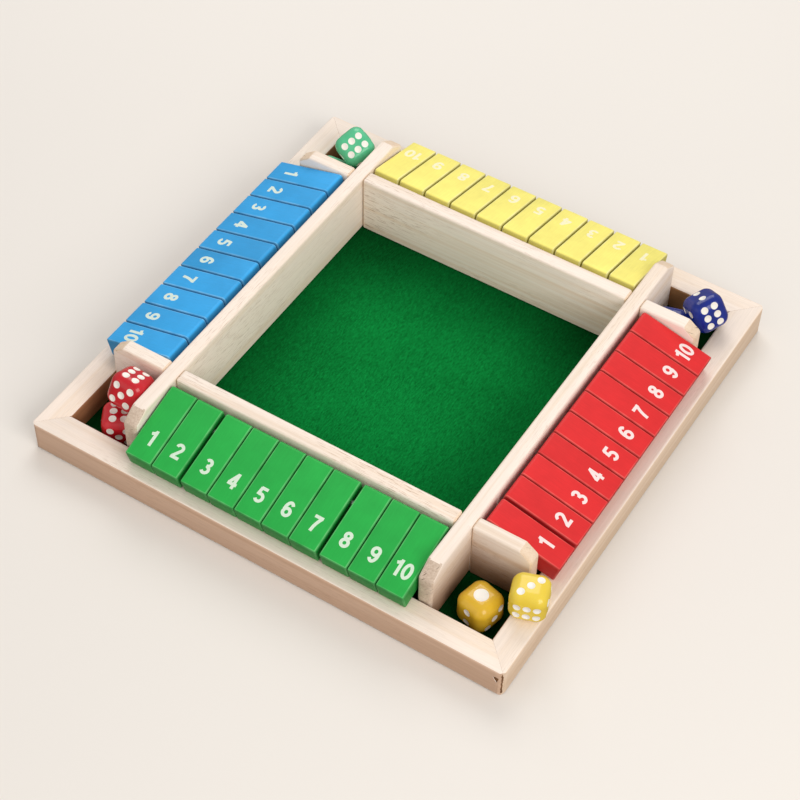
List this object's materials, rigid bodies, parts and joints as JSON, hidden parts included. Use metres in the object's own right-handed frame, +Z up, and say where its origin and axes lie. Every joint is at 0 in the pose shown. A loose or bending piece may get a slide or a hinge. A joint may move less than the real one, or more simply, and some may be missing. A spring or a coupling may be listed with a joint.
{
  "type": "four-player shut the box game",
  "caption": "Square wooden game tray with a felt play area, rows of hinged numbered flip tiles on all four sides and corner wells holding coloured dice",
  "frame": {"origin": "centre of the tray's underside, on the surface it stands on", "axes": "+Z up through the open play area, +X to the right and +Y to the back as the player of the green row sits at -Y"},
  "size_m": [0.2211, 0.22, 0.0363],
  "materials": {
    "pine": "unfinished",
    "panel_wood": "unfinished",
    "felt": "matte",
    "steel": "satin",
    "green_paint": "satin",
    "red_paint": "satin",
    "yellow_paint": "satin",
    "blue_paint": "satin",
    "yellow_resin": "gloss",
    "red_resin": "gloss",
    "green_resin": "gloss",
    "blue_resin": "gloss"
  },
  "bodies": {
    "frame": {"outer_frame": "pine", "base_panel": "panel_wood", "felt_sheet": "felt", "left_partition": "pine", "right_partition": "pine", "front_wall": "pine", "back_wall": "pine", "front_pivot_rod": "steel", "right_pivot_rod": "steel", "back_pivot_rod": "steel", "left_pivot_rod": "steel"},
    "green_tile_01": {"green_tile_01": "green_paint"},
    "green_tile_02": {"green_tile_02": "green_paint"},
    "green_tile_03": {"green_tile_03": "green_paint"},
    "green_tile_04": {"green_tile_04": "green_paint"},
    "green_tile_05": {"green_tile_05": "green_paint"},
    "green_tile_06": {"green_tile_06": "green_paint"},
    "green_tile_07": {"green_tile_07": "green_paint"},
    "green_tile_08": {"green_tile_08": "green_paint"},
    "green_tile_09": {"green_tile_09": "green_paint"},
    "green_tile_10": {"green_tile_10": "green_paint"},
    "red_tile_01": {"red_tile_01": "red_paint"},
    "red_tile_02": {"red_tile_02": "red_paint"},
    "red_tile_03": {"red_tile_03": "red_paint"},
    "red_tile_04": {"red_tile_04": "red_paint"},
    "red_tile_05": {"red_tile_05": "red_paint"},
    "red_tile_06": {"red_tile_06": "red_paint"},
    "red_tile_07": {"red_tile_07": "red_paint"},
    "red_tile_08": {"red_tile_08": "red_paint"},
    "red_tile_09": {"red_tile_09": "red_paint"},
    "red_tile_10": {"red_tile_10": "red_paint"},
    "yellow_tile_01": {"yellow_tile_01": "yellow_paint"},
    "yellow_tile_02": {"yellow_tile_02": "yellow_paint"},
    "yellow_tile_03": {"yellow_tile_03": "yellow_paint"},
    "yellow_tile_04": {"yellow_tile_04": "yellow_paint"},
    "yellow_tile_05": {"yellow_tile_05": "yellow_paint"},
    "yellow_tile_06": {"yellow_tile_06": "yellow_paint"},
    "yellow_tile_07": {"yellow_tile_07": "yellow_paint"},
    "yellow_tile_08": {"yellow_tile_08": "yellow_paint"},
    "yellow_tile_09": {"yellow_tile_09": "yellow_paint"},
    "yellow_tile_10": {"yellow_tile_10": "yellow_paint"},
    "blue_tile_01": {"blue_tile_01": "blue_paint"},
    "blue_tile_02": {"blue_tile_02": "blue_paint"},
    "blue_tile_03": {"blue_tile_03": "blue_paint"},
    "blue_tile_04": {"blue_tile_04": "blue_paint"},
    "blue_tile_05": {"blue_tile_05": "blue_paint"},
    "blue_tile_06": {"blue_tile_06": "blue_paint"},
    "blue_tile_07": {"blue_tile_07": "blue_paint"},
    "blue_tile_08": {"blue_tile_08": "blue_paint"},
    "blue_tile_09": {"blue_tile_09": "blue_paint"},
    "blue_tile_10": {"blue_tile_10": "blue_paint"},
    "yellow_die_in_well": {"yellow_die_in_well": "yellow_resin"},
    "yellow_die_on_rail": {"yellow_die_on_rail": "yellow_resin"},
    "red_die_lower": {"red_die_lower": "red_resin"},
    "red_die_upper": {"red_die_upper": "red_resin"},
    "green_die_lower": {"green_die_lower": "green_resin"},
    "green_die_upper": {"green_die_upper": "green_resin"},
    "blue_die_lower": {"blue_die_lower": "blue_resin"},
    "blue_die_upper": {"blue_die_upper": "blue_resin"}
  },
  "joints": [
    {"name": "green_tile_01_flip", "type": "hinge", "parent": "frame", "child": "green_tile_01", "pos_m": [-0.05806, -0.08072, 0.0259], "axis": [-1, 0, 0], "range_deg": [0, 134.5]},
    {"name": "green_tile_02_flip", "type": "hinge", "parent": "frame", "child": "green_tile_02", "pos_m": [-0.04544, -0.08072, 0.0259], "axis": [-1, 0, 0], "range_deg": [0, 134.5]},
    {"name": "green_tile_03_flip", "type": "hinge", "parent": "frame", "child": "green_tile_03", "pos_m": [-0.03155, -0.08072, 0.0259], "axis": [-1, 0, 0], "range_deg": [0, 134.5]},
    {"name": "green_tile_04_flip", "type": "hinge", "parent": "frame", "child": "green_tile_04", "pos_m": [-0.01893, -0.08072, 0.0259], "axis": [-1, 0, 0], "range_deg": [0, 134.5]},
    {"name": "green_tile_05_flip", "type": "hinge", "parent": "frame", "child": "green_tile_05", "pos_m": [-0.00631, -0.08072, 0.0259], "axis": [-1, 0, 0], "range_deg": [0, 134.5]},
    {"name": "green_tile_06_flip", "type": "hinge", "parent": "frame", "child": "green_tile_06", "pos_m": [0.00631, -0.08072, 0.0259], "axis": [-1, 0, 0], "range_deg": [0, 134.5]},
    {"name": "green_tile_07_flip", "type": "hinge", "parent": "frame", "child": "green_tile_07", "pos_m": [0.01893, -0.08072, 0.0259], "axis": [-1, 0, 0], "range_deg": [0, 134.5]},
    {"name": "green_tile_08_flip", "type": "hinge", "parent": "frame", "child": "green_tile_08", "pos_m": [0.03282, -0.08072, 0.0259], "axis": [-1, 0, 0], "range_deg": [0, 134.5]},
    {"name": "green_tile_09_flip", "type": "hinge", "parent": "frame", "child": "green_tile_09", "pos_m": [0.04544, -0.08072, 0.0259], "axis": [-1, 0, 0], "range_deg": [0, 134.5]},
    {"name": "green_tile_10_flip", "type": "hinge", "parent": "frame", "child": "green_tile_10", "pos_m": [0.05806, -0.08072, 0.0259], "axis": [-1, 0, 0], "range_deg": [0, 134.5]},
    {"name": "red_tile_01_flip", "type": "hinge", "parent": "frame", "child": "red_tile_01", "pos_m": [0.08072, -0.05744, 0.0259], "axis": [0, -1, 0], "range_deg": [0, 134.5]},
    {"name": "red_tile_02_flip", "type": "hinge", "parent": "frame", "child": "red_tile_02", "pos_m": [0.08072, -0.04385, 0.0259], "axis": [0, -1, 0], "range_deg": [0, 134.5]},
    {"name": "red_tile_03_flip", "type": "hinge", "parent": "frame", "child": "red_tile_03", "pos_m": [0.08072, -0.03119, 0.0259], "axis": [0, -1, 0], "range_deg": [0, 134.5]},
    {"name": "red_tile_04_flip", "type": "hinge", "parent": "frame", "child": "red_tile_04", "pos_m": [0.08072, -0.01853, 0.0259], "axis": [0, -1, 0], "range_deg": [0, 134.5]},
    {"name": "red_tile_05_flip", "type": "hinge", "parent": "frame", "child": "red_tile_05", "pos_m": [0.08072, -0.00587, 0.0259], "axis": [0, -1, 0], "range_deg": [0, 134.5]},
    {"name": "red_tile_06_flip", "type": "hinge", "parent": "frame", "child": "red_tile_06", "pos_m": [0.08072, 0.00679, 0.0259], "axis": [0, -1, 0], "range_deg": [0, 134.5]},
    {"name": "red_tile_07_flip", "type": "hinge", "parent": "frame", "child": "red_tile_07", "pos_m": [0.08072, 0.01945, 0.0259], "axis": [0, -1, 0], "range_deg": [0, 134.5]},
    {"name": "red_tile_08_flip", "type": "hinge", "parent": "frame", "child": "red_tile_08", "pos_m": [0.08072, 0.03211, 0.0259], "axis": [0, -1, 0], "range_deg": [0, 134.5]},
    {"name": "red_tile_09_flip", "type": "hinge", "parent": "frame", "child": "red_tile_09", "pos_m": [0.08072, 0.04478, 0.0259], "axis": [0, -1, 0], "range_deg": [0, 134.5]},
    {"name": "red_tile_10_flip", "type": "hinge", "parent": "frame", "child": "red_tile_10", "pos_m": [0.08072, 0.05744, 0.0259], "axis": [0, -1, 0], "range_deg": [0, 134.5]},
    {"name": "yellow_tile_01_flip", "type": "hinge", "parent": "frame", "child": "yellow_tile_01", "pos_m": [0.05817, 0.08072, 0.0259], "axis": [1, 0, 0], "range_deg": [0, 134.5]},
    {"name": "yellow_tile_02_flip", "type": "hinge", "parent": "frame", "child": "yellow_tile_02", "pos_m": [0.04525, 0.08072, 0.0259], "axis": [1, 0, 0], "range_deg": [0, 134.5]},
    {"name": "yellow_tile_03_flip", "type": "hinge", "parent": "frame", "child": "yellow_tile_03", "pos_m": [0.03232, 0.08072, 0.0259], "axis": [1, 0, 0], "range_deg": [0, 134.5]},
    {"name": "yellow_tile_04_flip", "type": "hinge", "parent": "frame", "child": "yellow_tile_04", "pos_m": [0.01939, 0.08072, 0.0259], "axis": [1, 0, 0], "range_deg": [0, 134.5]},
    {"name": "yellow_tile_05_flip", "type": "hinge", "parent": "frame", "child": "yellow_tile_05", "pos_m": [0.00646, 0.08072, 0.0259], "axis": [1, 0, 0], "range_deg": [0, 134.5]},
    {"name": "yellow_tile_06_flip", "type": "hinge", "parent": "frame", "child": "yellow_tile_06", "pos_m": [-0.00646, 0.08072, 0.0259], "axis": [1, 0, 0], "range_deg": [0, 134.5]},
    {"name": "yellow_tile_07_flip", "type": "hinge", "parent": "frame", "child": "yellow_tile_07", "pos_m": [-0.01939, 0.08072, 0.0259], "axis": [1, 0, 0], "range_deg": [0, 134.5]},
    {"name": "yellow_tile_08_flip", "type": "hinge", "parent": "frame", "child": "yellow_tile_08", "pos_m": [-0.03232, 0.08072, 0.0259], "axis": [1, 0, 0], "range_deg": [0, 134.5]},
    {"name": "yellow_tile_09_flip", "type": "hinge", "parent": "frame", "child": "yellow_tile_09", "pos_m": [-0.04525, 0.08072, 0.0259], "axis": [1, 0, 0], "range_deg": [0, 134.5]},
    {"name": "yellow_tile_10_flip", "type": "hinge", "parent": "frame", "child": "yellow_tile_10", "pos_m": [-0.05817, 0.08072, 0.0259], "axis": [1, 0, 0], "range_deg": [0, 134.5]},
    {"name": "blue_tile_01_flip", "type": "hinge", "parent": "frame", "child": "blue_tile_01", "pos_m": [-0.08072, 0.05736, 0.0259], "axis": [0, 1, 0], "range_deg": [0, 134.5]},
    {"name": "blue_tile_02_flip", "type": "hinge", "parent": "frame", "child": "blue_tile_02", "pos_m": [-0.08072, 0.04461, 0.0259], "axis": [0, 1, 0], "range_deg": [0, 134.5]},
    {"name": "blue_tile_03_flip", "type": "hinge", "parent": "frame", "child": "blue_tile_03", "pos_m": [-0.08072, 0.03186, 0.0259], "axis": [0, 1, 0], "range_deg": [0, 134.5]},
    {"name": "blue_tile_04_flip", "type": "hinge", "parent": "frame", "child": "blue_tile_04", "pos_m": [-0.08072, 0.01912, 0.0259], "axis": [0, 1, 0], "range_deg": [0, 134.5]},
    {"name": "blue_tile_05_flip", "type": "hinge", "parent": "frame", "child": "blue_tile_05", "pos_m": [-0.08072, 0.00637, 0.0259], "axis": [0, 1, 0], "range_deg": [0, 134.5]},
    {"name": "blue_tile_06_flip", "type": "hinge", "parent": "frame", "child": "blue_tile_06", "pos_m": [-0.08072, -0.00637, 0.0259], "axis": [0, 1, 0], "range_deg": [0, 134.5]},
    {"name": "blue_tile_07_flip", "type": "hinge", "parent": "frame", "child": "blue_tile_07", "pos_m": [-0.08072, -0.01912, 0.0259], "axis": [0, 1, 0], "range_deg": [0, 134.5]},
    {"name": "blue_tile_08_flip", "type": "hinge", "parent": "frame", "child": "blue_tile_08", "pos_m": [-0.08072, -0.03186, 0.0259], "axis": [0, 1, 0], "range_deg": [0, 134.5]},
    {"name": "blue_tile_09_flip", "type": "hinge", "parent": "frame", "child": "blue_tile_09", "pos_m": [-0.08072, -0.04461, 0.0259], "axis": [0, 1, 0], "range_deg": [0, 134.5]},
    {"name": "blue_tile_10_flip", "type": "hinge", "parent": "frame", "child": "blue_tile_10", "pos_m": [-0.08072, -0.05736, 0.0259], "axis": [0, 1, 0], "range_deg": [0, 134.5]},
    {"name": "yellow_die_in_well_lift", "type": "slide", "parent": "frame", "child": "yellow_die_in_well", "axis": [0, 0, 1], "range_m": [0, 0.06]},
    {"name": "yellow_die_on_rail_lift", "type": "slide", "parent": "frame", "child": "yellow_die_on_rail", "axis": [0, 0, 1], "range_m": [0, 0.06]},
    {"name": "red_die_lower_lift", "type": "slide", "parent": "frame", "child": "red_die_lower", "axis": [0, 0, 1], "range_m": [0, 0.06]},
    {"name": "red_die_upper_lift", "type": "slide", "parent": "red_die_lower", "child": "red_die_upper", "axis": [0, 0, 1], "range_m": [0, 0.06]},
    {"name": "green_die_lower_lift", "type": "slide", "parent": "frame", "child": "green_die_lower", "axis": [0, 0, 1], "range_m": [0, 0.06]},
    {"name": "green_die_upper_lift", "type": "slide", "parent": "green_die_lower", "child": "green_die_upper", "axis": [0, 0, 1], "range_m": [0, 0.06]},
    {"name": "blue_die_lower_lift", "type": "slide", "parent": "frame", "child": "blue_die_lower", "axis": [0, 0, 1], "range_m": [0, 0.06]},
    {"name": "blue_die_upper_lift", "type": "slide", "parent": "blue_die_lower", "child": "blue_die_upper", "axis": [0, 0, 1], "range_m": [0, 0.06]}
  ]
}
